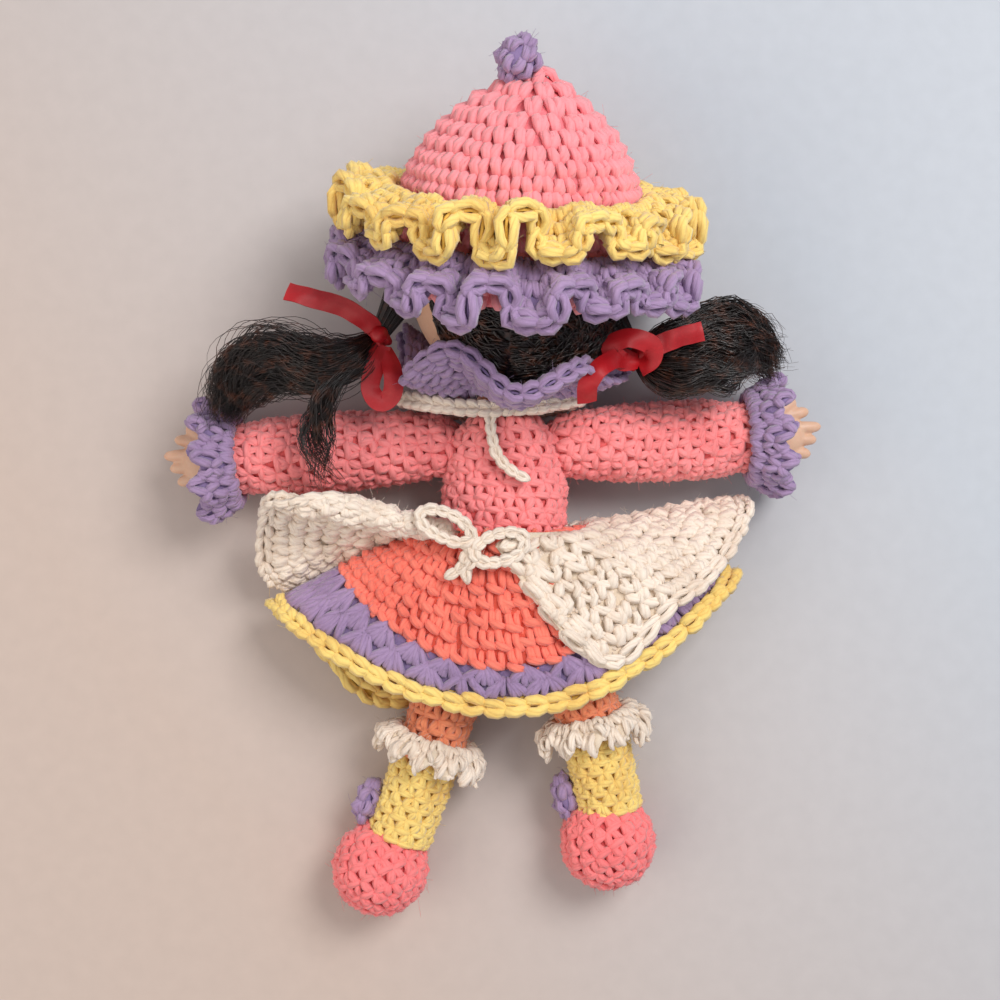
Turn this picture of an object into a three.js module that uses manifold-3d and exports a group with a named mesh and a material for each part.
// A crocheted doll with a vinyl head and vinyl hands, lying on its front.
// Millimetres. +X is towards the doll's right hand, +Y towards the tip of its hat,
// and +Z is up from the table that it lies on, out of the doll's back.
import * as THREE from 'three';
import { mergeVertices } from 'three/addons/utils/BufferGeometryUtils.js';
import Module from 'manifold-3d';

const wasm = await Module();
wasm.setup();

// Clearances and shared thicknesses
const seatGap = 0.35; // between pieces that touch
const fillGap = 0.8; // between stuffing and the fabric round it
const jointGap = 0.6; // around a ball that turns in its socket
const yarnWall = 2.8; // crocheted fabric
const clothWall = 2.4; // the thinner fabric of skirt, apron and frills
const vinylWall = 2.2;
const tableCut = 0.45; // how far soft undersides are pressed flat
const cutOverrun = 40; // how far a cutter runs past what it cuts
const capRadius = 0.8; // first and last ring of a rounded solid
const liningSides = 10; // of the plainer inner faces, where fabric meets stuffing

const yarn = {
  pink: 0xf58a8c, coral: 0xf47c6c, salmon: 0xd9794f, lilac: 0xa08bc4, yellow: 0xecd06a, white: 0xf1ebe0,
};

// Torso: a stuffed body in an oval section, from the neck opening to its seat
const torso = {
  x: 1.7,
  topY: 31,
  length: 78,
  z: 24.2,
  halfWidth: 24.5,
  halfDepth: 18,
  // share of the length from the top, share of the half width, share of the half depth
  formShares: [[0, 0.5, 0.6], [0.06, 0.78, 0.82], [0.18, 0.95, 0.96], [0.38, 1, 1], [0.58, 0.95, 0.98],
    [0.76, 1, 1], [0.9, 0.84, 0.86], [1, 0.4, 0.4]],
  sides: 16,
};

// Waist: the seat folds forward about a line across the front of the body
const waist = { y: -30, z: 16, radius: 11, splitY: -19.6, splitGap: 1 };

// Neck and head: the head turns about the line from the neck's foot to the head's centre
const neck = { x: 2, y: 33, z: 30, radius: 11, flangeRadius: 14, flangeThick: 3, insert: 9 };
const head = {
  x: 5, y: 82, z: 46, halfWidth: 38.5, halfHeight: 41, halfDepth: 37,
  noseRadius: 4, noseLift: 1.6, noseDrop: 8, sides: 16,
};
const hair = {
  thick: 3.8, clumpHeight: 0.9, clumps: 7, sides: 21,
  // the oval left open over the face: place and half size as shares of the head's half sizes
  faceDropShare: 0.3, faceOutShare: 1.05, faceWidthShare: 1.12, faceHeightShare: 1.06, faceDepthShare: 0.95,
  // the round left open under the nape
  napeShare: 0.72, napeWidthShare: 0.9,
};

// Hat: a plump cone with two gathered frills and a bobble on its tip
const hat = {
  height: 81,
  radius: 46.5,
  brimDrop: 3,
  lean: 4,
  wall: 2.6,
  // share of the height, share of the radius
  formShares: [[0, 1], [0.2, 1], [0.41, 0.965], [0.57, 0.875], [0.71, 0.72], [0.83, 0.5], [0.93, 0.26],
    [1, 0.05]],
  sides: 18,
};
// soft is the height above the table from which the cloth starts to be pushed up by it
const upperFrill = {
  rootHeight: 31, dropHeight: 13, reach: 18.5, soft: 16, waves: 9, wave: 5, steps: 45, seed: 0.4,
};
const lowerFrill = {
  rootHeight: 15, dropHeight: 16, reach: 18.5, soft: 11, waves: 9, wave: 4.8, steps: 45, seed: 1.7,
};
const bobble = { radius: 8.6, length: 9.6, x: 6.4, y: 155, z: 76, sides: 12 };

// Collar frill and the white tie under it
const collar = {
  innerRadius: 12.4, outerRadius: 40.5, lift: 1.5, rise: 20, soft: 11, flare: 1.4,
  waves: 7, wave: 3, seed: 1.7, steps: 36,
};
const neckTie = {
  radius: 2.1, x: -3.5, halfWidth: 33, z: 28.5, halfDepth: 18.2, y: 33.8, sideLift: 4.6, steps: 20, sides: 6,
};
const tieTail = {
  radius: 2.1, sides: 8, steps: 5,
  path: [[-3.6, 33, 46.7], [-3.2, 24, 45.6], [-0.4, 15.6, 45.3], [4.8, 10.4, 45.3], [10.4, 7.6, 45.4]],
};

// Arms: each turns in a ball seat at the shoulder
const arm = {
  ballRadius: 13, midRadius: 15.8, endRadius: 13.3, wristRadius: 5.6,
  capDegrees: [-90, -60, -35, -12], // rings of the round end that turns in the shoulder
  // share of the length, share of the middle radius
  formShares: [[0.25, 0.96], [0.5, 1], [0.75, 0.97]],
  mouthShare: 0.7, // from here to the cuff the sleeve is bored straight
  pivotY: 21, pivotZ: 22.2, sides: 12, // the left sleeve has stretched a little with wear
  rightX: 27.4, rightLength: 74, rightRise: 3.4,
  leftX: -26, leftLength: 81, leftRise: -5.6,
};
const cuff = { overlap: 7, length: 15, outerRadius: 21.8, waves: 7, wave: 1.7, steps: 28 };
const hand = {
  insert: 9, palmCentre: 5, palmHalfLength: 11, palmHalfWidth: 9, palmHalfThick: 4.6,
  fingerRoot: 6, fingerRadius: 2.5, tipRadius: 1.7, thumbRadius: 2.7,
  // where each finger starts and ends: beyond the sleeve's end, then across the arm
  fingers: [[7, 6, 18.5, 9.2], [10, 2.4, 23, 3], [10, -1.4, 21, -2], [8, -4.8, 18.5, -7.6]],
  thumb: [1, 4, 13, 14.4],
  tipShare: 0.8, nearTipShare: 1.15, // where a finger starts to round off, and its radius there
  sides: 6,
};

// Legs: hip, knee and ankle of each, and the shoe's centre
const leg = {
  ballRadius: 12.4, upperRadius: 13, kneeRadius: 13, ankleRadius: 12.6, sides: 12, wall: 2.6, steps: 6,
  upperShare: 0.3, kneeShare: 0.65, // where along the leg it has its upper and its knee radius
  capDegrees: [-25, -50, -72, -90], // rings of the round end that turns in the hip
};
const legRight = {
  hip: [16, -45.5, 21], knee: [34.8, -84, 19.2], ankle: [43.5, -123, 17.6], toeShares: [-0.28, -0.2, 0],
  frillShare: 0.57,
};
const legLeft = {
  hip: [-12.5, -45.5, 21], knee: [-24.2, -88, 19.2], ankle: [-40.3, -134, 17.6], toeShares: [-0.8, -0.35, 0],
  frillShare: 0.57,
};
const sock = { belowFrillShare: 0.04, endShare: 0.96 };
const shoe = {
  halfWidth: 18.6, halfLength: 18.8, halfHeight: 17.6, ahead: 7.4, toeAhead: 4, sides: 12, rings: 7,
};
const ankleFrill = { reach: 8.2, halfLength: 4.6, soft: 5.5, waves: 6, wave: 1.7, steps: 24 };
const pompom = {
  placeShare: 0.86, halfLength: 9.4, halfWidth: 6.4, halfThick: 5.2, sink: 1.6, height: 17, sides: 8,
};

// Skirt: a flared cone pressed flat between table and body
const skirt = {
  waistY: -12, waistHalfWidth: 26.4, waistHalfDepth: 19.9, waistZ: 24.3,
  hemHalfWidth: 89, hemHalfDepth: 18.8, hemZ: 22.5, backLength: 68, sideLength: 24, sideTilt: 6,
  // where the panel and the border end, down from the waist; the panel ends sooner at the sides
  panelShare: 0.75, panelSideShare: 0.22, bandShare: 0.9,
  wave: 1.9, waves: 5, steps: 36, flare: 0.86,
};
const apron = {
  lift: 3.1, thick: 2.2, edgeHalfWidth: 93, underLevel: 0.75, steps: 38, rows: 3,
  ripple: 1.5, ripples: 9, rippleShare: 0.3,
  foldLift: 14, foldAngle: 300, foldHalfAngle: 22,
  // angle in degrees from the middle of the back, length of the cloth as a share of the skirt's back length
  edgeShares: [[14, 0.45], [22, 0.66], [31, 0.74], [42, 0.7], [52, 0.5], [62, 0.3], [75, 0.06], [90, -0.12],
    [106, -0.16], [130, 0.02], [150, 0.4], [180, 0.74], [210, 0.42], [230, 0.3], [250, 0.3], [266, 0.22],
    [280, -0.04], [292, -0.18], [304, -0.18], [314, -0.06], [326, 0.1]],
};
const apronTie = {
  radius: 2.2, knotRadius: 4, x: -4.6, y: -17, z: 49.6, sides: 6,
  // centre x, y, half length, half width, turn
  leftLoop: [-10.5, 5, 11, 4.4, -0.5], rightLoop: [9, 3, 7.6, 4, 0.35],
  tail: [[-2, -2, -1], [-7, -8, -1.6], [-13, -9.4, -1.4]],
  steps: 9, tailSteps: 3, loopPoints: 8,
};

// Pigtails and their ribbons, as places along each in the order root to tip
const pigtailLeft = {
  scalp: [-31, 71, 46], path: [[-45, 60, 47], [-56, 54, 50], [-68, 52, 50], [-80, 48, 47], [-91, 43, 45]],
  radii: [2.3, 10, 13, 11.5, 5], thinShare: 0.72,
};
const pigtailRight = {
  scalp: [38, 70, 45], path: [[50.5, 53, 45], [61, 51, 44], [75, 53.5, 42], [89, 59, 36], [103, 66, 30]],
  radii: [2.3, 10, 13.5, 11, 4.5], thinShare: 0.72,
};
const pigtailForm = { sides: 10, steps: 9, rootRadius: 6, tieRadius: 3.6, capDegrees: [-35, -75] };
const ribbon = { width: 7, thick: 1, knotRadius: 4.4, steps: 6 };
const bowLeft = [
  [[-43, 60.5, 49], [-52, 65.5, 54], [-62, 70, 55.5], [-72, 71, 54]],
  [[-42, 56, 49], [-39.2, 47, 52], [-39.5, 39, 51], [-44, 36, 50.5], [-47.5, 41, 51], [-45.5, 50, 51.5],
    [-43.5, 57, 50.5]],
];
const bowRight = [
  [[50.5, 53.5, 51.5], [49.5, 57.5, 58], [47.5, 51, 62], [51, 46, 60.5], [51, 50.5, 53.5]],
  [[50.5, 51.5, 51], [58, 55, 52.5], [66, 57.5, 51], [71.5, 59, 48.5]],
  [[50, 50.5, 52], [47, 44, 56], [42, 38, 54], [38.5, 33.5, 49.5]],
];

// Small tools

const vec = (x, y, z) => new THREE.Vector3(x, y, z);
const turnOf = (share) => share * Math.PI * 2;
const wholeTurn = Math.PI * 2;

// Value at a place in a table of [place, value, ...] rows, eased between rows
function tableAt(rows, place, column = 1) {
  if (place <= rows[0][0]) return rows[0][column];
  for (let i = 1; i < rows.length; i += 1) {
    if (place <= rows[i][0]) {
      const share = (place - rows[i - 1][0]) / (rows[i][0] - rows[i - 1][0]);
      return THREE.MathUtils.lerp(rows[i - 1][column], rows[i][column], share);
    }
  }
  return rows[rows.length - 1][column];
}

// A closed skin over a row of sections, each a closed loop with the same number of points
function sweep(sections, joined) {
  const count = sections[0].length;
  const points = sections.flat();
  const faces = [];
  const last = joined ? sections.length : sections.length - 1;
  for (let i = 0; i < last; i += 1) {
    const a = i * count;
    const b = ((i + 1) % sections.length) * count;
    for (let j = 0; j < count; j += 1) {
      const k = (j + 1) % count;
      faces.push(a + j, b + j, b + k, a + j, b + k, a + k);
    }
  }
  if (!joined) {
    const ends = [[sections[0], 0], [sections[sections.length - 1], (sections.length - 1) * count]];
    for (const [section, first] of ends) {
      const middle = section.reduce((sum, p) => sum.add(p), vec(0, 0, 0)).divideScalar(count);
      const centre = points.push(middle) - 1;
      for (let j = 0; j < count; j += 1) {
        const k = (j + 1) % count;
        if (first === 0) faces.push(centre, first + j, first + k);
        else faces.push(centre, first + k, first + j);
      }
    }
  }
  const geometry = new THREE.BufferGeometry();
  const places = points.flatMap((p) => [p.x, p.y, p.z]);
  geometry.setAttribute('position', new THREE.Float32BufferAttribute(places, 3));
  geometry.setIndex(faces);
  return facingOut(geometry);
}

// Turns every face round where the skin encloses a negative volume
function facingOut(geometry) {
  const place = geometry.attributes.position;
  const index = geometry.index.array;
  const corner = [vec(0, 0, 0), vec(0, 0, 0), vec(0, 0, 0)];
  let volume = 0;
  for (let i = 0; i < index.length; i += 3) {
    for (let c = 0; c < 3; c += 1) corner[c].fromBufferAttribute(place, index[i + c]);
    volume += corner[0].dot(corner[1].clone().cross(corner[2]));
  }
  if (volume < 0) {
    for (let i = 0; i < index.length; i += 3) [index[i + 1], index[i + 2]] = [index[i + 2], index[i + 1]];
  }
  return geometry;
}

function solidOf(geometry) {
  const bare = geometry.clone();
  bare.deleteAttribute('normal');
  bare.deleteAttribute('uv');
  const merged = mergeVertices(bare);
  return new wasm.Manifold(new wasm.Mesh({
    numProp: 3,
    vertProperties: new Float32Array(merged.attributes.position.array),
    triVerts: new Uint32Array(merged.index.array),
  }));
}

function geometryOf(solid) {
  const mesh = solid.getMesh();
  const geometry = new THREE.BufferGeometry();
  geometry.setAttribute('position', new THREE.Float32BufferAttribute(mesh.vertProperties, mesh.numProp));
  geometry.setIndex(Array.from(mesh.triVerts));
  return geometry;
}

// Largest body of a solid, without slivers that a cut has left
function mainBody(solid) {
  return solid.decompose().reduce((best, each) => (each.volume() > best.volume() ? each : best));
}

const cut = (solid, ...cutters) => mainBody(cutters.reduce((left, cutter) => left.subtract(cutter), solid));

const join = (solids) => solids.reduce((whole, each) => whole.add(each));

// Everything below the table top
const belowTable = solidOf(new THREE.BoxGeometry(skirt.hemHalfWidth * 8, skirt.hemHalfWidth * 8, cutOverrun)
  .translate(0, 0, -cutOverrun / 2));

const onTable = (solid) => cut(solid, belowTable);

// Rings of an oval body along a line, closed by caps
function ovalRings(stations, sides) {
  return stations.map(({ centre, across, up, width, depth }) => Array.from({ length: sides }, (_, i) => {
    const angle = turnOf(i / sides);
    return centre.clone()
      .addScaledVector(across, width * Math.sin(angle))
      .addScaledVector(up, depth * Math.cos(angle));
  }));
}

function ellipsoid(centre, across, along, up, halves, sides, rings) {
  const stations = [];
  for (let i = 0; i <= rings; i += 1) {
    const angle = -Math.PI / 2 + Math.PI * THREE.MathUtils.clamp(i / rings, 0.5 / rings, 1 - 0.5 / rings);
    stations.push({
      centre: centre.clone().addScaledVector(along, halves.y * Math.sin(angle)),
      across, up,
      width: halves.x * Math.cos(angle),
      depth: halves.z * Math.cos(angle),
    });
  }
  stations[0].centre = centre.clone().addScaledVector(along, -halves.y);
  stations[rings].centre = centre.clone().addScaledVector(along, halves.y);
  for (const end of [stations[0], stations[rings]]) {
    end.width = Math.min(end.width, capRadius);
    end.depth = Math.min(end.depth, capRadius);
  }
  return solidOf(sweep(ovalRings(stations, sides), false));
}

const axisX = vec(1, 0, 0);
const axisY = vec(0, 1, 0);
const axisZ = vec(0, 0, 1);

const ball = (centre, radius, sides) => ellipsoid(
  centre, axisX, axisY, axisZ, vec(radius, radius, radius), sides, sides / 2);

// Sections of a round cord along a curve
function cordSections(curve, radius, sides, steps, joined) {
  const sections = [];
  const count = joined ? steps : steps + 1;
  for (let i = 0; i < count; i += 1) {
    const share = i / steps;
    const along = curve.getTangentAt(share);
    const across = along.clone().cross(axisZ).normalize();
    const up = across.clone().cross(along).normalize();
    const station = { centre: curve.getPointAt(share), across, up, width: radius, depth: radius };
    sections.push(ovalRings([station], sides)[0]);
  }
  return sections;
}

const curveThrough = (points) => new THREE.CatmullRomCurve3(points.map((p) => vec(...p)));

// The nodes of the doll, in bodies that move together

const doll = new THREE.Group();
function bodyGroup(place) {
  const group = new THREE.Group();
  group.position.copy(place);
  group.updateMatrixWorld(true);
  doll.add(group);
  return group;
}

// Adds a solid, given in the doll's frame, to a group as a named mesh in the group's own frame
function addNode(group, name, solid, color, roughness = 0.95) {
  const geometry = geometryOf(solid);
  geometry.applyMatrix4(group.matrixWorld.clone().invert());
  geometry.computeVertexNormals();
  const mesh = new THREE.Mesh(geometry, new THREE.MeshStandardMaterial({ color, roughness, metalness: 0 }));
  mesh.name = name;
  group.add(mesh);
  return mesh;
}

// Torso

const torsoFoot = torso.topY - torso.length;

function torsoStation(share, inset) {
  return {
    centre: vec(torso.x, torso.topY - share * torso.length, torso.z),
    across: axisX,
    up: axisZ,
    width: tableAt(torso.formShares, share, 1) * torso.halfWidth - inset,
    depth: tableAt(torso.formShares, share, 2) * torso.halfDepth - inset,
  };
}

function torsoStations(from, to, inset, pad = 0) {
  const inner = torso.formShares.map((row) => row[0]).filter((share) => share > from && share < to);
  const stations = [from, ...inner, to].map((share) => torsoStation(share, inset));
  stations[0].centre.y += pad;
  return stations;
}

const sidesFor = (inset, sides) => (inset > 0 ? liningSides : sides);

const torsoSolid = (from, to, inset) => solidOf(sweep(
  ovalRings(torsoStations(from, to, inset), sidesFor(inset, torso.sides)), false));

// Neck and head frame

const neckFoot = vec(neck.x, neck.y, neck.z);
const headCentre = vec(head.x, head.y, head.z);
const neckAxis = headCentre.clone().sub(neckFoot).normalize();
const headAcross = neckAxis.clone().cross(axisZ).normalize();
const headBack = headAcross.clone().cross(neckAxis).normalize();
const neckLength = headCentre.distanceTo(neckFoot);

// A point of the head's frame: across, along the neck's axis and towards the back of the head
const headPoint = (x, y, z) => headCentre.clone()
  .addScaledVector(headAcross, x).addScaledVector(neckAxis, y).addScaledVector(headBack, z);

// A turned solid about the neck's axis, from [height, radius] rows
function turned(rows, sides, lean = 0, leanHeight = 1) {
  const stations = rows.map(([height, radius]) => {
    const share = THREE.MathUtils.clamp(height / leanHeight, 0, 1);
    const centre = headPoint(lean * share * share, height, 0);
    return { centre, across: headAcross, up: headBack, width: radius, depth: radius };
  });
  return solidOf(sweep(ovalRings(stations, sides), false));
}

const neckEnd = -neckLength - neck.insert;
const neckSolid = (grow) => {
  const foot = neckEnd - grow;
  const flangeRadius = neck.flangeRadius + grow;
  return join([
    turned([[foot, neck.radius + grow], [-head.halfHeight / 2, neck.radius + grow]], torso.sides),
    turned([[foot, flangeRadius], [neckEnd + neck.flangeThick + grow, flangeRadius]], torso.sides),
  ]);
};

function headSolid(inset) {
  const halves = vec(head.halfWidth - inset, head.halfHeight - inset, head.halfDepth - inset);
  return ellipsoid(
    headCentre, headAcross, neckAxis, headBack, halves, sidesFor(inset, head.sides), head.sides / 2);
}

// The vinyl shell with its nose, neck and flange, open at the foot of the neck
const nose = ball(headPoint(0, -head.noseDrop, -head.halfDepth + head.noseLift), head.noseRadius, hand.sides);
const neckBoreRadius = neck.radius - vinylWall;
const neckBore = turned(
  [[neckEnd - cutOverrun, neckBoreRadius], [-head.halfHeight / 2, neckBoreRadius]], torso.sides);
const headShell = cut(join([headSolid(0), neckSolid(0), nose]), headSolid(vinylWall), neckBore);
const headFill = join([headSolid(vinylWall + seatGap),
  turned([[neckEnd + seatGap, neck.radius - vinylWall - seatGap],
    [-head.halfHeight / 2, neck.radius - vinylWall - seatGap]], torso.sides)]);

// Hair: a skull cap with low clumps, left open over the face
function hairSolid(grow, clump) {
  const sections = [];
  const rings = head.sides / 2;
  for (let i = 0; i <= rings; i += 1) {
    const rise = -Math.PI / 2 + Math.PI * THREE.MathUtils.clamp(i / rings, 0.25 / rings, 1 - 0.25 / rings);
    const ring = [];
    for (let j = 0; j < hair.sides; j += 1) {
      const angle = turnOf(j / hair.sides);
      const wave = clump * Math.cos(hair.clumps * angle) * Math.cos(rise) ** 2;
      const out = (half) => half + grow + wave;
      ring.push(headPoint(
        out(head.halfWidth) * Math.cos(rise) * Math.sin(angle),
        out(head.halfHeight) * Math.sin(rise),
        out(head.halfDepth) * Math.cos(rise) * Math.cos(angle),
      ));
    }
    sections.push(ring);
  }
  return solidOf(sweep(sections, false));
}

const faceMiddle = headPoint(0, -head.halfHeight * hair.faceDropShare, -head.halfDepth * hair.faceOutShare);
const faceHalves = vec(head.halfWidth * hair.faceWidthShare, head.halfHeight * hair.faceHeightShare,
  head.halfDepth * hair.faceDepthShare);
const faceOpening = ellipsoid(
  faceMiddle, headAcross, neckAxis, headBack, faceHalves, head.sides, head.sides / 2);
const napeOpening = turned([[-head.halfHeight - cutOverrun / 2, head.halfWidth],
  [-head.halfHeight * hair.napeShare, head.halfWidth * hair.napeWidthShare]], torso.sides);
const hairReachSolid = hairSolid(hair.thick + seatGap, hair.clumpHeight);
const hairCap = cut(hairSolid(hair.thick, hair.clumpHeight), headSolid(-seatGap), neckSolid(seatGap),
  faceOpening, napeOpening);

// Hat

const hatRows = (inset) => hat.formShares.map(([height, radius]) => [
  -hat.brimDrop + height * (hat.height - inset), Math.max(hat.radius * radius - inset, capRadius)]);
const hatRadiusAt = (height) => tableAt(hat.formShares, (height + hat.brimDrop) / hat.height) * hat.radius;
const hatForm = (inset, sides = hat.sides) => turned(hatRows(inset), sides, hat.lean, hat.height);
const hatInner = hat.radius - hat.wall;
const hatMouth = turned([[-hat.brimDrop - hat.wall, hatInner], [0, hatInner]], hat.sides);
const hatCone = cut(hatForm(0), hatForm(hat.wall), hatMouth);
const belowCrown = turned(
  [[-hat.brimDrop - cutOverrun, hat.radius * 2], [head.halfHeight / 2, hat.radius * 2]], torso.sides);
const hatFill = cut(
  hatForm(hat.wall + fillGap, liningSides), hairReachSolid, headSolid(-seatGap), belowCrown);

// How far cloth at this height above the table is pushed up by it, so that it stays on it
function pressed(height, level, soft) {
  if (height >= soft) return height;
  return level + (soft - level) * Math.exp((height - soft) / (soft - level));
}

// A frill round the neck's axis: a gathered strip from a root circle to a wavy free edge
function frillPoint(frill, angle, share, side) {
  const gather = share ** 1.15;
  const swing = frill.wave * gather * Math.sin(frill.waves * angle + frill.seed);
  const pinch = frill.wave * 0.55 * gather * Math.cos(frill.waves * 2 * angle + frill.seed * 2);
  const rootRadius = hatRadiusAt(frill.rootHeight) + clothWall / 2 + seatGap * 2;
  const radius = rootRadius + frill.reach * share + pinch;
  const height = frill.rootHeight - frill.dropHeight * share ** 0.9 + swing;
  const point = headPoint(radius * Math.sin(angle), height, radius * Math.cos(angle));
  const level = clothWall / 2 - tableCut;
  const settled = pressed(point.z, level, frill.soft);
  point.y += settled - point.z;
  point.z = settled;
  return point.addScaledVector(side.normal, side.shift);
}

// Sections of a strip of cloth across a closed or open run: its outer face, then its inner face back
function stripSections(pointAt, from, to, steps, rows, thick, joined) {
  const sections = [];
  const still = { normal: vec(0, 0, 0), shift: 0 };
  const reach = (to - from) / steps / 4;
  const count = joined ? steps : steps + 1;
  for (let i = 0; i < count; i += 1) {
    const angle = from + ((to - from) * i) / steps;
    const outer = [];
    const inner = [];
    for (let row = 0; row <= rows; row += 1) {
      const share = row / rows;
      const low = Math.max(share - 0.05, 0);
      const high = Math.min(share + 0.05, 1);
      const alongRun = pointAt(angle + reach, share, still).sub(pointAt(angle - reach, share, still));
      const alongStrip = pointAt(angle, high, still).sub(pointAt(angle, low, still));
      const normal = alongRun.cross(alongStrip).normalize();
      outer.push(pointAt(angle, share, { normal, shift: thick / 2 }));
      inner.push(pointAt(angle, share, { normal, shift: -thick / 2 }));
    }
    sections.push([...outer, ...inner.reverse()]);
  }
  return sections;
}

const stripRing = (pointAt, steps, rows, thick) => solidOf(sweep(
  stripSections(pointAt, 0, wholeTurn, steps, rows, thick, true), true));
const frillSolid = (frill) => stripRing(
  (angle, share, side) => frillPoint(frill, angle, share, side), frill.steps, 2, clothWall);

const coneKeepOut = hatForm(-seatGap);
const lilacFrill = onTable(cut(frillSolid(lowerFrill), coneKeepOut, hairReachSolid, headSolid(-seatGap)));
const yellowFrill = onTable(cut(frillSolid(upperFrill), coneKeepOut, lilacFrill));
const hatBobble = cut(ellipsoid(vec(bobble.x, bobble.y, bobble.z), axisX, axisY, axisZ,
  vec(bobble.radius, bobble.length, bobble.radius), bobble.sides, bobble.sides / 2), coneKeepOut);

// Collar frill round the neck

function collarPoint(angle, share, side) {
  const swing = Math.sin(collar.waves * angle + collar.seed) * share;
  const spread = THREE.MathUtils.lerp(collar.innerRadius, collar.outerRadius, share ** (1 / collar.flare));
  const radius = spread + clothWall / 2 * swing;
  const height = -neckLength + collar.lift + collar.rise * share + collar.wave * swing;
  const point = headPoint(radius * Math.sin(angle), height, radius * Math.cos(angle));
  point.z = pressed(point.z, clothWall / 2 - tableCut, collar.soft);
  return point.addScaledVector(side.normal, side.shift);
}

const hairReach = hair.thick + hair.clumpHeight + jointGap;
const sweepHalfWidth = head.halfWidth + hairReach;
const sweepHalves = vec(sweepHalfWidth, head.halfHeight + hairReach, sweepHalfWidth);
const headSweep = ellipsoid(
  headCentre, headAcross, neckAxis, headBack, sweepHalves, hat.sides, head.sides / 2);
const collarForm = (grow) => stripRing(collarPoint, collar.steps, 2, clothWall + grow * 2);
const collarFrill = onTable(cut(collarForm(0), torsoSolid(0, 1, -seatGap), headSweep, neckSolid(seatGap)));
const collarKeepOut = collarForm(seatGap * 2);

// Arms

function armParts(sign, x, length, rise) {
  const pivot = vec(x, arm.pivotY, arm.pivotZ);
  const along = vec(sign * length, rise, 0).normalize();
  const across = vec(-along.y * sign, along.x * sign, 0);
  const at = (out, over) => pivot.clone().addScaledVector(along, out).addScaledVector(across, over);
  const ringAt = (out, over, radius) => (
    { centre: at(out, over), across, up: axisZ, width: radius, depth: radius });
  const ring = (out, radius) => ringAt(out, 0, radius);
  const rod = (rings, sides) => solidOf(sweep(ovalRings(rings, sides), false));
  const sleeveRings = (inset) => {
    const radius = arm.ballRadius - inset;
    const cap = arm.capDegrees.map((degrees) => {
      const angle = THREE.MathUtils.degToRad(degrees);
      return ring(radius * Math.sin(angle), Math.max(radius * Math.cos(angle), capRadius));
    });
    const middle = arm.formShares.map(([out, size]) => ring(length * out, arm.midRadius * size - inset));
    const end = [length - cuff.overlap - clothWall, length].map((out) => ring(out, arm.endRadius - inset));
    return [...cap, ...middle, ...end];
  };
  const full = (inset) => rod(sleeveRings(inset), sidesFor(inset, arm.sides));
  const fillEnd = length - hand.palmHalfLength + hand.palmCentre - jointGap;
  const beyond = rod([ring(fillEnd, arm.midRadius * 2), ring(length * 2, arm.midRadius * 2)], arm.sides);
  const mouthRadius = arm.endRadius - yarnWall;
  const mouth = rod([ring(length * arm.mouthShare, mouthRadius), ring(length * 2, mouthRadius)], arm.sides);
  const sleeve = cut(full(0), full(yarnWall), mouth);

  // The hand: wrist plug, palm, four fingers and a thumb
  const stick = (x0, y0, x1, y1, fat, thin) => {
    const nearX = THREE.MathUtils.lerp(x0, x1, hand.tipShare);
    const nearY = THREE.MathUtils.lerp(y0, y1, hand.tipShare);
    const nearTip = ringAt(nearX, nearY, thin * hand.nearTipShare);
    return rod([ringAt(x0, y0, fat), nearTip, ringAt(x1, y1, thin / 2)], hand.sides);
  };
  const palmHalves = vec(hand.palmHalfWidth, hand.palmHalfLength, hand.palmHalfThick);
  const palm = ellipsoid(at(length + hand.palmCentre, 0), across, along, axisZ, palmHalves, hand.sides + 2,
    hand.sides);
  const fingers = hand.fingers.map(([x0, y0, x1, y1]) => stick(
    length + x0 - hand.fingerRoot, y0, length + x1, y1, hand.fingerRadius, hand.tipRadius));
  const [thumbX, thumbY, thumbTipX, thumbTipY] = hand.thumb;
  const handSolid = join([
    stick(length - hand.insert, 0, length + hand.palmCentre, 0, arm.wristRadius, arm.wristRadius),
    palm,
    ...fingers,
    stick(length + thumbX, thumbY, length + thumbTipX, thumbTipY, hand.thumbRadius, hand.tipRadius),
  ]);
  const boreRadius = arm.wristRadius + jointGap;
  const boreStart = length - hand.insert - jointGap;
  const wristBore = rod([ring(boreStart, boreRadius), ring(length * 2, boreRadius)], arm.sides);
  const fill = cut(full(yarnWall + seatGap), beyond, wristBore);

  // The frilled cuff: a gathered ring that grips the sleeve's end
  const cuffPoint = (angle, share, shiftSide) => {
    const swing = cuff.wave * share * Math.sin(cuff.waves * angle);
    const rootRadius = arm.endRadius + clothWall / 2 + seatGap;
    const radius = THREE.MathUtils.lerp(rootRadius, cuff.outerRadius, Math.sin(share * Math.PI / 2));
    const out = length - cuff.overlap + cuff.length * share + swing;
    return at(out, radius * Math.sin(angle))
      .addScaledVector(axisZ, radius * Math.cos(angle))
      .addScaledVector(shiftSide.normal, shiftSide.shift);
  };
  const cuffRing = onTable(stripRing(cuffPoint, cuff.steps, 2, clothWall));
  const socket = ball(pivot, (arm.ballRadius + jointGap) / Math.cos(Math.PI / arm.sides), arm.sides);
  const sweepOut = rod(
    [ring(0, arm.ballRadius + jointGap), ring(length, arm.midRadius + jointGap * 2)], arm.sides);
  return { pivot, sleeve, fill, cuffRing, handSolid, socket, sweepOut, full };
}

const armRight = armParts(1, arm.rightX, arm.rightLength, arm.rightRise);
const armLeft = armParts(-1, arm.leftX, arm.leftLength, arm.leftRise);

// Legs

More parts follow.
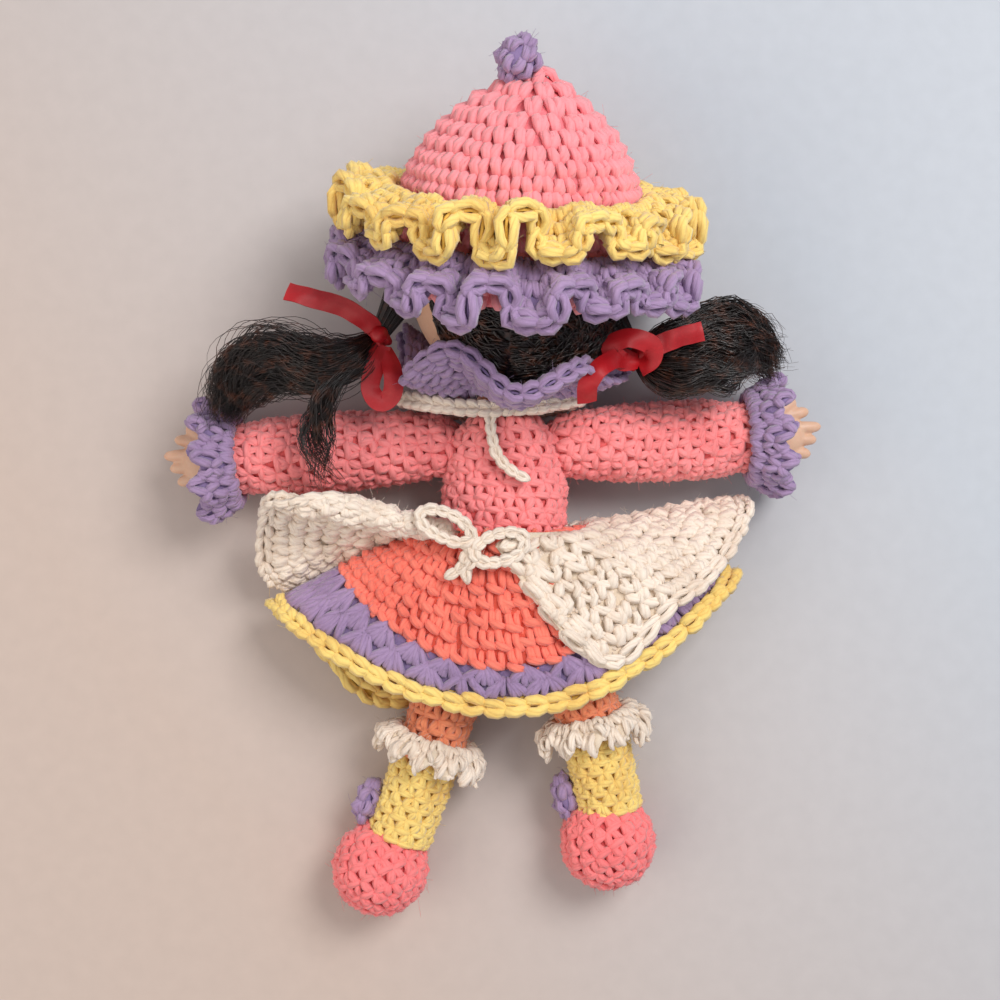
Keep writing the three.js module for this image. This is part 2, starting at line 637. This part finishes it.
function legParts(spec) {
  const [hip, knee, ankle] = [vec(...spec.hip), vec(...spec.knee), vec(...spec.ankle)];
  const curve = new THREE.CatmullRomCurve3([hip, hip.clone().lerp(knee, 0.5), knee, ankle]);
  const radii = [[0, leg.ballRadius], [leg.upperShare, leg.upperRadius], [leg.kneeShare, leg.kneeRadius],
    [1, leg.ankleRadius]];
  const station = (share, inset) => {
    const along = curve.getTangentAt(share);
    const across = along.clone().cross(axisZ).normalize();
    const up = across.clone().cross(along).normalize();
    const size = tableAt(radii, share) - inset;
    return { centre: curve.getPointAt(share), across, up, width: size, depth: size };
  };
  // A stretch of the leg; one that starts at the hip has a round end there
  const tube = (from, to, inset, steps) => {
    const shares = Array.from({ length: steps + 1 }, (_, i) => THREE.MathUtils.lerp(from, to, i / steps));
    const stations = shares.map((share) => station(share, inset));
    if (from === 0) {
      const along = curve.getTangentAt(0);
      const root = station(0, inset);
      for (const degrees of leg.capDegrees) {
        const angle = THREE.MathUtils.degToRad(degrees);
        const size = Math.max(root.width * Math.cos(angle), capRadius);
        const centre = hip.clone().addScaledVector(along, root.width * Math.sin(angle));
        stations.unshift({ ...root, centre, width: size, depth: size });
      }
    }
    return solidOf(sweep(ovalRings(stations, sidesFor(inset, leg.sides)), false));
  };
  const hipSeat = ball(hip, (leg.upperRadius + jointGap) / Math.cos(Math.PI / leg.sides), leg.sides);
  const below = (share) => {
    const { centre, across, up } = station(share, 0);
    const along = curve.getTangentAt(share);
    const near = { centre, across, up, width: cutOverrun, depth: cutOverrun };
    const far = { ...near, centre: centre.clone().addScaledVector(along, cutOverrun * 2) };
    return solidOf(sweep(ovalRings([near, far], leg.sides), false));
  };
  const gapShare = seatGap / curve.getLength();
  const sockStart = spec.frillShare + sock.belowFrillShare;
  const steps = leg.steps;
  const upperLeg = cut(tube(0, sockStart, 0, steps / 3 * 2),
    tube(0, sockStart + gapShare * 4, leg.wall, steps / 3 * 2 + 1));
  const sockTube = cut(tube(sockStart + gapShare, 1, 0, steps / 3 * 2),
    tube(sockStart - gapShare * 4, 1, leg.wall, steps / 3 * 2 + 2), below(sock.endShare));

  // Shoe: a rounded foot round the end of the sock
  const shoeAlong = curve.getTangentAt(1);
  const toe = vec(...spec.toeShares).normalize();
  const shoeCentre = ankle.clone()
    .addScaledVector(shoeAlong, shoe.ahead)
    .addScaledVector(toe, shoe.toeAhead);
  shoeCentre.z = shoe.halfHeight - tableCut;
  const shoeAcross = toe.clone().addScaledVector(axisZ, -toe.dot(axisZ)).normalize();
  const shoeDown = shoeAcross.clone().cross(axisZ).normalize();
  const shoeForm = (inset) => ellipsoid(shoeCentre, shoeAcross, shoeDown, axisZ,
    vec(shoe.halfLength - inset, shoe.halfWidth - inset, shoe.halfHeight - inset),
    sidesFor(inset, shoe.sides), sidesFor(inset, shoe.rings * 2) / 2);
  const sockKeepOut = tube(spec.frillShare, sock.endShare + gapShare * 2, -seatGap, steps / 2);
  const shoeMouth = tube(spec.frillShare, 1, -seatGap, steps / 2);
  const shoeShell = onTable(cut(shoeForm(0), shoeForm(leg.wall), shoeMouth));
  const fill = join([tube(0, 1, leg.wall + fillGap, steps),
    cut(shoeForm(leg.wall + fillGap), sockKeepOut)]);

  // Frill at the top of the sock
  const frillAt = station(spec.frillShare, 0);
  const frillAlong = curve.getTangentAt(spec.frillShare);
  const frillPointAt = (angle, share, side) => {
    const swing = ankleFrill.wave * share * Math.sin(ankleFrill.waves * angle);
    const radius = frillAt.width + seatGap + ankleFrill.reach * Math.sin(share * Math.PI / 2);
    const out = -ankleFrill.halfLength + ankleFrill.halfLength * 2 * share ** 2 + swing;
    const point = frillAt.centre.clone()
      .addScaledVector(frillAlong, out)
      .addScaledVector(frillAt.across, radius * Math.sin(angle))
      .addScaledVector(frillAt.up, radius * Math.cos(angle));
    point.z = pressed(point.z, clothWall / 2 - tableCut, ankleFrill.soft);
    return point.addScaledVector(side.normal, side.shift);
  };
  const frillForm = stripRing(frillPointAt, ankleFrill.steps, 2, clothWall);
  const frill = onTable(cut(frillForm, tube(0, 1, -seatGap, steps)));

  // Bobble on the front of the ankle
  const front = shoeAlong.clone().cross(axisZ).normalize().multiplyScalar(-1);
  if (front.dot(axisX) > 0) front.multiplyScalar(-1);
  const padCentre = curve.getPointAt(pompom.placeShare)
    .addScaledVector(front, leg.ankleRadius + pompom.halfThick - pompom.sink);
  padCentre.z = pompom.height;
  const padHalves = vec(pompom.halfWidth, pompom.halfLength, pompom.halfThick);
  const padForm = ellipsoid(
    padCentre, axisZ, shoeAlong, front, padHalves, pompom.sides, pompom.sides / 2 + 1);
  const pad = cut(padForm, sockKeepOut, shoeForm(-seatGap));
  return { hip, hipSeat, upperLeg, sockTube, shoeShell, fill, frill, pad };
}

const rightLeg = legParts(legRight);
const leftLeg = legParts(legLeft);

// Torso pieces, with a seat for each ball and a groove for the neck

const sockets = [armRight.socket, armLeft.socket, rightLeg.hipSeat, leftLeg.hipSeat];
const limbSweeps = [armRight.sweepOut, armLeft.sweepOut];
const neckKeepOut = neckSolid(jointGap);
const acrossBody = (radius) => {
  const end = (x) => (
    { centre: vec(x, waist.y, waist.z), across: axisY, up: axisZ, width: radius, depth: radius });
  const ends = [end(torso.x - torso.halfWidth * 2), end(torso.x + torso.halfWidth * 2)];
  return solidOf(sweep(ovalRings(ends, torso.sides), false));
};
const waistShare = (torso.topY - waist.splitY) / torso.length;
const splitShare = waist.splitGap / torso.length;
const foldKeepOut = acrossBody(waist.radius + jointGap);
const bodyKeepFrom = [neckKeepOut, foldKeepOut, ...sockets, ...limbSweeps];
const bodice = cut(torsoSolid(0, waistShare, 0), torsoSolid(-splitShare, 1, yarnWall), ...bodyKeepFrom);
const frontCorner = solidOf(new THREE.BoxGeometry(torso.halfWidth * 4, cutOverrun, cutOverrun)
  .translate(torso.x, waist.y + cutOverrun / 2, waist.z - cutOverrun / 2));
const rollStart = waistShare - waist.radius / torso.length;
const foldRoll = torsoSolid(rollStart, 1, fillGap).intersect(acrossBody(waist.radius));
const seatForm = torsoSolid(waistShare + splitShare, 1, 0).subtract(frontCorner).add(foldRoll);
const seatSolid = cut(seatForm, ...sockets);
const torsoFill = cut(torsoSolid(splitShare, waistShare, yarnWall + seatGap), ...bodyKeepFrom);

// Skirt

function skirtPoint(angle, share, side) {
  const open = share ** skirt.flare;
  const halfWidth = THREE.MathUtils.lerp(skirt.waistHalfWidth, skirt.hemHalfWidth, open);
  const halfDepth = THREE.MathUtils.lerp(skirt.waistHalfDepth, skirt.hemHalfDepth, share);
  const middle = THREE.MathUtils.lerp(skirt.waistZ, skirt.hemZ, share);
  const sides = skirt.sideLength - skirt.sideTilt * Math.sin(angle);
  const length = sides + (skirt.backLength - sides) * Math.cos(angle) ** 2;
  const wave = skirt.wave * share ** 2 * Math.max(Math.cos(angle), 0) * Math.sin(skirt.waves * angle);
  const height = middle + halfDepth * Math.cos(angle) + wave;
  return vec(torso.x + halfWidth * Math.sin(angle), skirt.waistY - share * length, height)
    .addScaledVector(side.normal, side.shift);
}

// A band of the skirt between two shares of the way down, each given at an angle
function skirtBand(fromAt, toAt, rows) {
  const at = (angle, share, side) => skirtPoint(
    angle, THREE.MathUtils.lerp(fromAt(angle), toAt(angle), share), side);
  return stripRing(at, skirt.steps, rows, clothWall);
}

const bandGap = seatGap / skirt.sideLength;
const torsoKeepOut = torsoSolid(0, 1, -seatGap);
const panelEnd = (angle) => skirt.panelShare - skirt.panelSideShare * Math.sin(angle) ** 2;
const skirtPanel = cut(skirtBand(() => 0, (angle) => panelEnd(angle) - bandGap, 2), torsoKeepOut);
const skirtBorder = skirtBand(panelEnd, () => skirt.bandShare - bandGap, 2);
const skirtEdge = skirtBand(() => skirt.bandShare, () => 1, 1);

// Apron: a half round of cloth that passes under the front of the skirt and comes round both sides

function apronPoint(angle, share, side) {
  const degrees = THREE.MathUtils.radToDeg(angle);
  const reach = tableAt(apron.edgeShares, degrees) * skirt.backLength;
  const halfWidth = THREE.MathUtils.lerp(
    skirt.waistHalfWidth + apron.lift, apron.edgeHalfWidth, share ** skirt.flare);
  const halfDepth = skirt.waistZ - apron.underLevel;
  const fold = Math.max(0, Math.cos(((degrees - apron.foldAngle) / apron.foldHalfAngle) * Math.PI / 2));
  const near = Math.abs(degrees - apron.foldAngle) < apron.foldHalfAngle ? fold : 0;
  const facing = Math.max(Math.cos(angle) + apron.rippleShare, 0);
  const ripple = apron.ripple * share ** 2 * facing * Math.sin(apron.ripples * angle);
  return vec(torso.x + halfWidth * Math.sin(angle), skirt.waistY - share * reach,
    skirt.waistZ + halfDepth * Math.cos(angle) + apron.foldLift * near * share + ripple)
    .addScaledVector(side.normal, side.shift);
}

const apronFrom = THREE.MathUtils.degToRad(apron.edgeShares[0][0]);
const apronTo = THREE.MathUtils.degToRad(apron.edgeShares[apron.edgeShares.length - 1][0]);
const skirtWhole = stripRing(skirtPoint, skirt.steps, 5, clothWall + seatGap * 2);
const apronForm = (grow) => solidOf(sweep(
  stripSections(apronPoint, apronFrom, apronTo, apron.steps, apron.rows, apron.thick + grow * 2, false),
  false,
));
const armKeepOut = [armRight.full(-seatGap), armLeft.full(-seatGap), armRight.cuffRing, armLeft.cuffRing];
const apronCloth = onTable(cut(apronForm(0), torsoKeepOut, skirtWhole, ...armKeepOut));

// White ties: round the neck with a free tail, and the bow at the back of the waist

const neckRing = new THREE.CatmullRomCurve3(Array.from({ length: neckTie.steps / 2 }, (_, i) => {
  const angle = turnOf(i / (neckTie.steps / 2));
  const lift = neckTie.sideLift * Math.sin(angle) ** 2;
  return vec(neckTie.x + neckTie.halfWidth * Math.sin(angle), neckTie.y + lift,
    neckTie.z + neckTie.halfDepth * Math.cos(angle));
}), true);
const neckTieWhole = (grow) => solidOf(sweep(
  cordSections(neckRing, neckTie.radius + grow, neckTie.sides, neckTie.steps, true), true));
const neckCord = cut(neckTieWhole(0), torsoKeepOut, collarKeepOut, ...armKeepOut);
const tailSection = new THREE.Shape(Array.from({ length: tieTail.sides }, (_, i) => {
  const angle = turnOf(i / tieTail.sides);
  return new THREE.Vector2(tieTail.radius * Math.cos(angle), tieTail.radius * Math.sin(angle));
}));
const tailCord = cut(solidOf(new THREE.ExtrudeGeometry(tailSection, {
  steps: tieTail.steps, bevelEnabled: false, extrudePath: curveThrough(tieTail.path),
})), torsoKeepOut, neckTieWhole(seatGap), collarKeepOut);

function waistLoop([x, y, halfLength, halfWidth, turn]) {
  const points = Array.from({ length: apronTie.loopPoints }, (_, i) => {
    const angle = turnOf(i / apronTie.loopPoints);
    return vec(halfLength * Math.cos(angle), halfWidth * Math.sin(angle), 0)
      .applyAxisAngle(axisZ, turn)
      .add(vec(apronTie.x + x, apronTie.y + y, apronTie.z));
  });
  const loop = new THREE.CatmullRomCurve3(points, true);
  return solidOf(sweep(cordSections(loop, apronTie.radius, apronTie.sides, apronTie.steps, true), true));
}

const tieCentre = vec(apronTie.x, apronTie.y, apronTie.z);
const waistTail = new THREE.CatmullRomCurve3(apronTie.tail.map((p) => vec(...p).add(tieCentre)));
const apronBow = cut(join([
  ball(tieCentre, apronTie.knotRadius, pompom.sides),
  waistLoop(apronTie.leftLoop),
  waistLoop(apronTie.rightLoop),
  solidOf(sweep(cordSections(waistTail, apronTie.radius, apronTie.sides, apronTie.tailSteps, false), false)),
]), apronForm(seatGap * 2), apronCloth, skirtWhole, torsoKeepOut);

// Pigtails and ribbons

function pigtailSolid(tail, from, to) {
  const curve = curveThrough(tail.path);
  const rows = tail.radii.map((radius, i) => [i / (tail.radii.length - 1), radius]);
  const stations = [];
  for (let i = 0; i <= pigtailForm.steps; i += 1) {
    const share = THREE.MathUtils.lerp(from, to, i / pigtailForm.steps);
    const along = curve.getTangent(share);
    const across = along.clone().cross(axisZ).normalize();
    const up = across.clone().cross(along).normalize();
    const size = tableAt(rows, share);
    stations.push({ centre: curve.getPoint(share), across, up, width: size, depth: size * tail.thinShare });
  }
  const root = stations[0];
  const along = curve.getTangent(from);
  for (const degrees of pigtailForm.capDegrees) {
    const angle = THREE.MathUtils.degToRad(degrees);
    const size = Math.max(root.width * Math.cos(angle), capRadius);
    const centre = root.centre.clone().addScaledVector(along, root.width * Math.sin(angle));
    stations.unshift({ ...root, centre, width: size, depth: size });
  }
  return solidOf(sweep(ovalRings(stations, pigtailForm.sides), false));
}

// The hair between scalp and tie, with a seat for the round end of the bunch
function rootForm(tail, grow) {
  const scalp = vec(...tail.scalp);
  const along = vec(...tail.path[0]).sub(scalp).normalize();
  const tie = vec(...tail.path[0]).addScaledVector(along, -tail.radii[0] - seatGap * 2);
  const across = along.clone().cross(axisZ).normalize();
  const up = across.clone().cross(along).normalize();
  const { rootRadius, tieRadius } = pigtailForm;
  return solidOf(sweep(ovalRings([
    { centre: scalp, across, up, width: rootRadius + grow, depth: rootRadius + grow },
    { centre: tie, across, up, width: tieRadius + grow, depth: tieRadius + grow },
  ], pigtailForm.sides), false));
}

function ribbonSolid(runs, knot) {
  const strips = runs.map((run) => {
    const curve = curveThrough(run);
    const sections = [];
    for (let i = 0; i <= ribbon.steps; i += 1) {
      const share = i / ribbon.steps;
      const along = curve.getTangentAt(share);
      const flat = along.clone().cross(axisZ).normalize();
      const wide = flat.multiplyScalar(ribbon.width / 2);
      const thin = flat.clone().cross(along).normalize().multiplyScalar(ribbon.thick / 2);
      const centre = curve.getPointAt(share);
      sections.push([centre.clone().add(wide).add(thin), centre.clone().sub(wide).add(thin),
        centre.clone().sub(wide).sub(thin), centre.clone().add(wide).sub(thin)]);
    }
    return solidOf(sweep(sections, false));
  });
  return join([ball(knot, ribbon.knotRadius, pompom.sides), ...strips]);
}

const headKeepOut = [coneKeepOut, lilacFrill, yellowFrill, hairReachSolid, headSolid(-seatGap)];
const knotLeft = vec(...pigtailLeft.path[0]);
const knotRight = vec(...pigtailRight.path[0]);
const bodyKeepOut = [...armKeepOut, collarFrill, collarKeepOut, neckTieWhole(seatGap), torsoKeepOut];
const rootOf = (tail) => cut(rootForm(tail, 0), ...headKeepOut);
const rootLeft = rootOf(pigtailLeft);
const rootRight = rootOf(pigtailRight);
const hairLeft = onTable(cut(pigtailSolid(pigtailLeft, 0, 1), ...headKeepOut, ...bodyKeepOut));
const hairRight = onTable(cut(pigtailSolid(pigtailRight, 0, 1), ...headKeepOut, ...bodyKeepOut));
const pigtailKeepOut = (tail) => {
  const grown = { ...tail, radii: tail.radii.map((radius) => radius + seatGap) };
  return pigtailSolid(grown, 0, 1);
};
const ribbonOf = (runs, tail, knot) => cut(
  ribbonSolid(runs, knot), pigtailKeepOut(tail), rootForm(tail, seatGap), ...headKeepOut, ...bodyKeepOut);
const ribbonLeft = ribbonOf(bowLeft, pigtailLeft, knotLeft);
const ribbonRight = ribbonOf(bowRight, pigtailRight, knotRight);

// Assembly: one group for each body that moves, with its origin at its joint

const torsoGroup = bodyGroup(vec(torso.x, torsoFoot, 0));
const seatGroup = bodyGroup(vec(torso.x, waist.y, waist.z));
addNode(seatGroup, 'seat', seatSolid, yarn.salmon);
addNode(torsoGroup, 'bodice', bodice, yarn.pink);
addNode(torsoGroup, 'body_stuffing', torsoFill, yarn.white);
addNode(torsoGroup, 'collar_frill', collarFrill, yarn.lilac);
addNode(torsoGroup, 'neck_tie', neckCord, yarn.white);
addNode(torsoGroup, 'neck_tie_tail', tailCord, yarn.white);
addNode(torsoGroup, 'skirt_panel', skirtPanel, yarn.coral);
addNode(torsoGroup, 'skirt_border', skirtBorder, yarn.lilac);
addNode(torsoGroup, 'skirt_edging', skirtEdge, yarn.yellow);
addNode(torsoGroup, 'apron', apronCloth, yarn.white);
addNode(torsoGroup, 'apron_bow', apronBow, yarn.white);

const headGroup = bodyGroup(neckFoot);
const skin = 0xe8b48e;
const hairColor = 0x2a1810;
const ribbonRed = 0xb01f28;
addNode(headGroup, 'head_shell', headShell, skin, 0.45);
addNode(headGroup, 'head_stuffing', headFill, yarn.white);
addNode(headGroup, 'hair_cap', hairCap, hairColor, 0.6);
addNode(headGroup, 'hat_cone', hatCone, yarn.pink);
addNode(headGroup, 'hat_stuffing', hatFill, yarn.white);
addNode(headGroup, 'hat_upper_frill', yellowFrill, yarn.yellow);
addNode(headGroup, 'hat_lower_frill', lilacFrill, yarn.lilac);
addNode(headGroup, 'hat_bobble', hatBobble, yarn.lilac);
addNode(headGroup, 'hair_root_left', rootLeft, hairColor, 0.6);
addNode(headGroup, 'hair_root_right', rootRight, hairColor, 0.6);

const tails = [['left', hairLeft, ribbonLeft, knotLeft], ['right', hairRight, ribbonRight, knotRight]];
for (const [side, hairPiece, ribbonPiece, knot] of tails) {
  const group = bodyGroup(knot);
  addNode(group, `pigtail_${side}_hair`, hairPiece, hairColor, 0.6);
  addNode(group, `pigtail_${side}_ribbon`, ribbonPiece, ribbonRed, 0.5);
}

for (const [side, parts] of [['left', armLeft], ['right', armRight]]) {
  const group = bodyGroup(parts.pivot);
  addNode(group, `sleeve_${side}`, parts.sleeve, yarn.pink);
  addNode(group, `arm_stuffing_${side}`, parts.fill, yarn.white);
  addNode(group, `cuff_${side}`, parts.cuffRing, yarn.lilac);
  addNode(group, `hand_${side}`, parts.handSolid, skin, 0.4);
}

for (const [side, parts] of [['left', leftLeg], ['right', rightLeg]]) {
  const group = bodyGroup(parts.hip);
  addNode(group, `leg_${side}`, parts.upperLeg, yarn.salmon);
  addNode(group, `leg_stuffing_${side}`, parts.fill, yarn.white);
  addNode(group, `sock_${side}`, parts.sockTube, yarn.yellow);
  addNode(group, `sock_frill_${side}`, parts.frill, yarn.white);
  addNode(group, `shoe_${side}`, parts.shoeShell, yarn.pink);
  addNode(group, `shoe_bobble_${side}`, parts.pad, yarn.lilac);
}

// The origin is under the middle of the doll, on the table
const outer = new THREE.Box3().setFromObject(doll);
const middle = outer.getCenter(vec(0, 0, 0));
doll.position.set(-middle.x, -middle.y, 0);
doll.updateMatrixWorld(true);

export default doll;
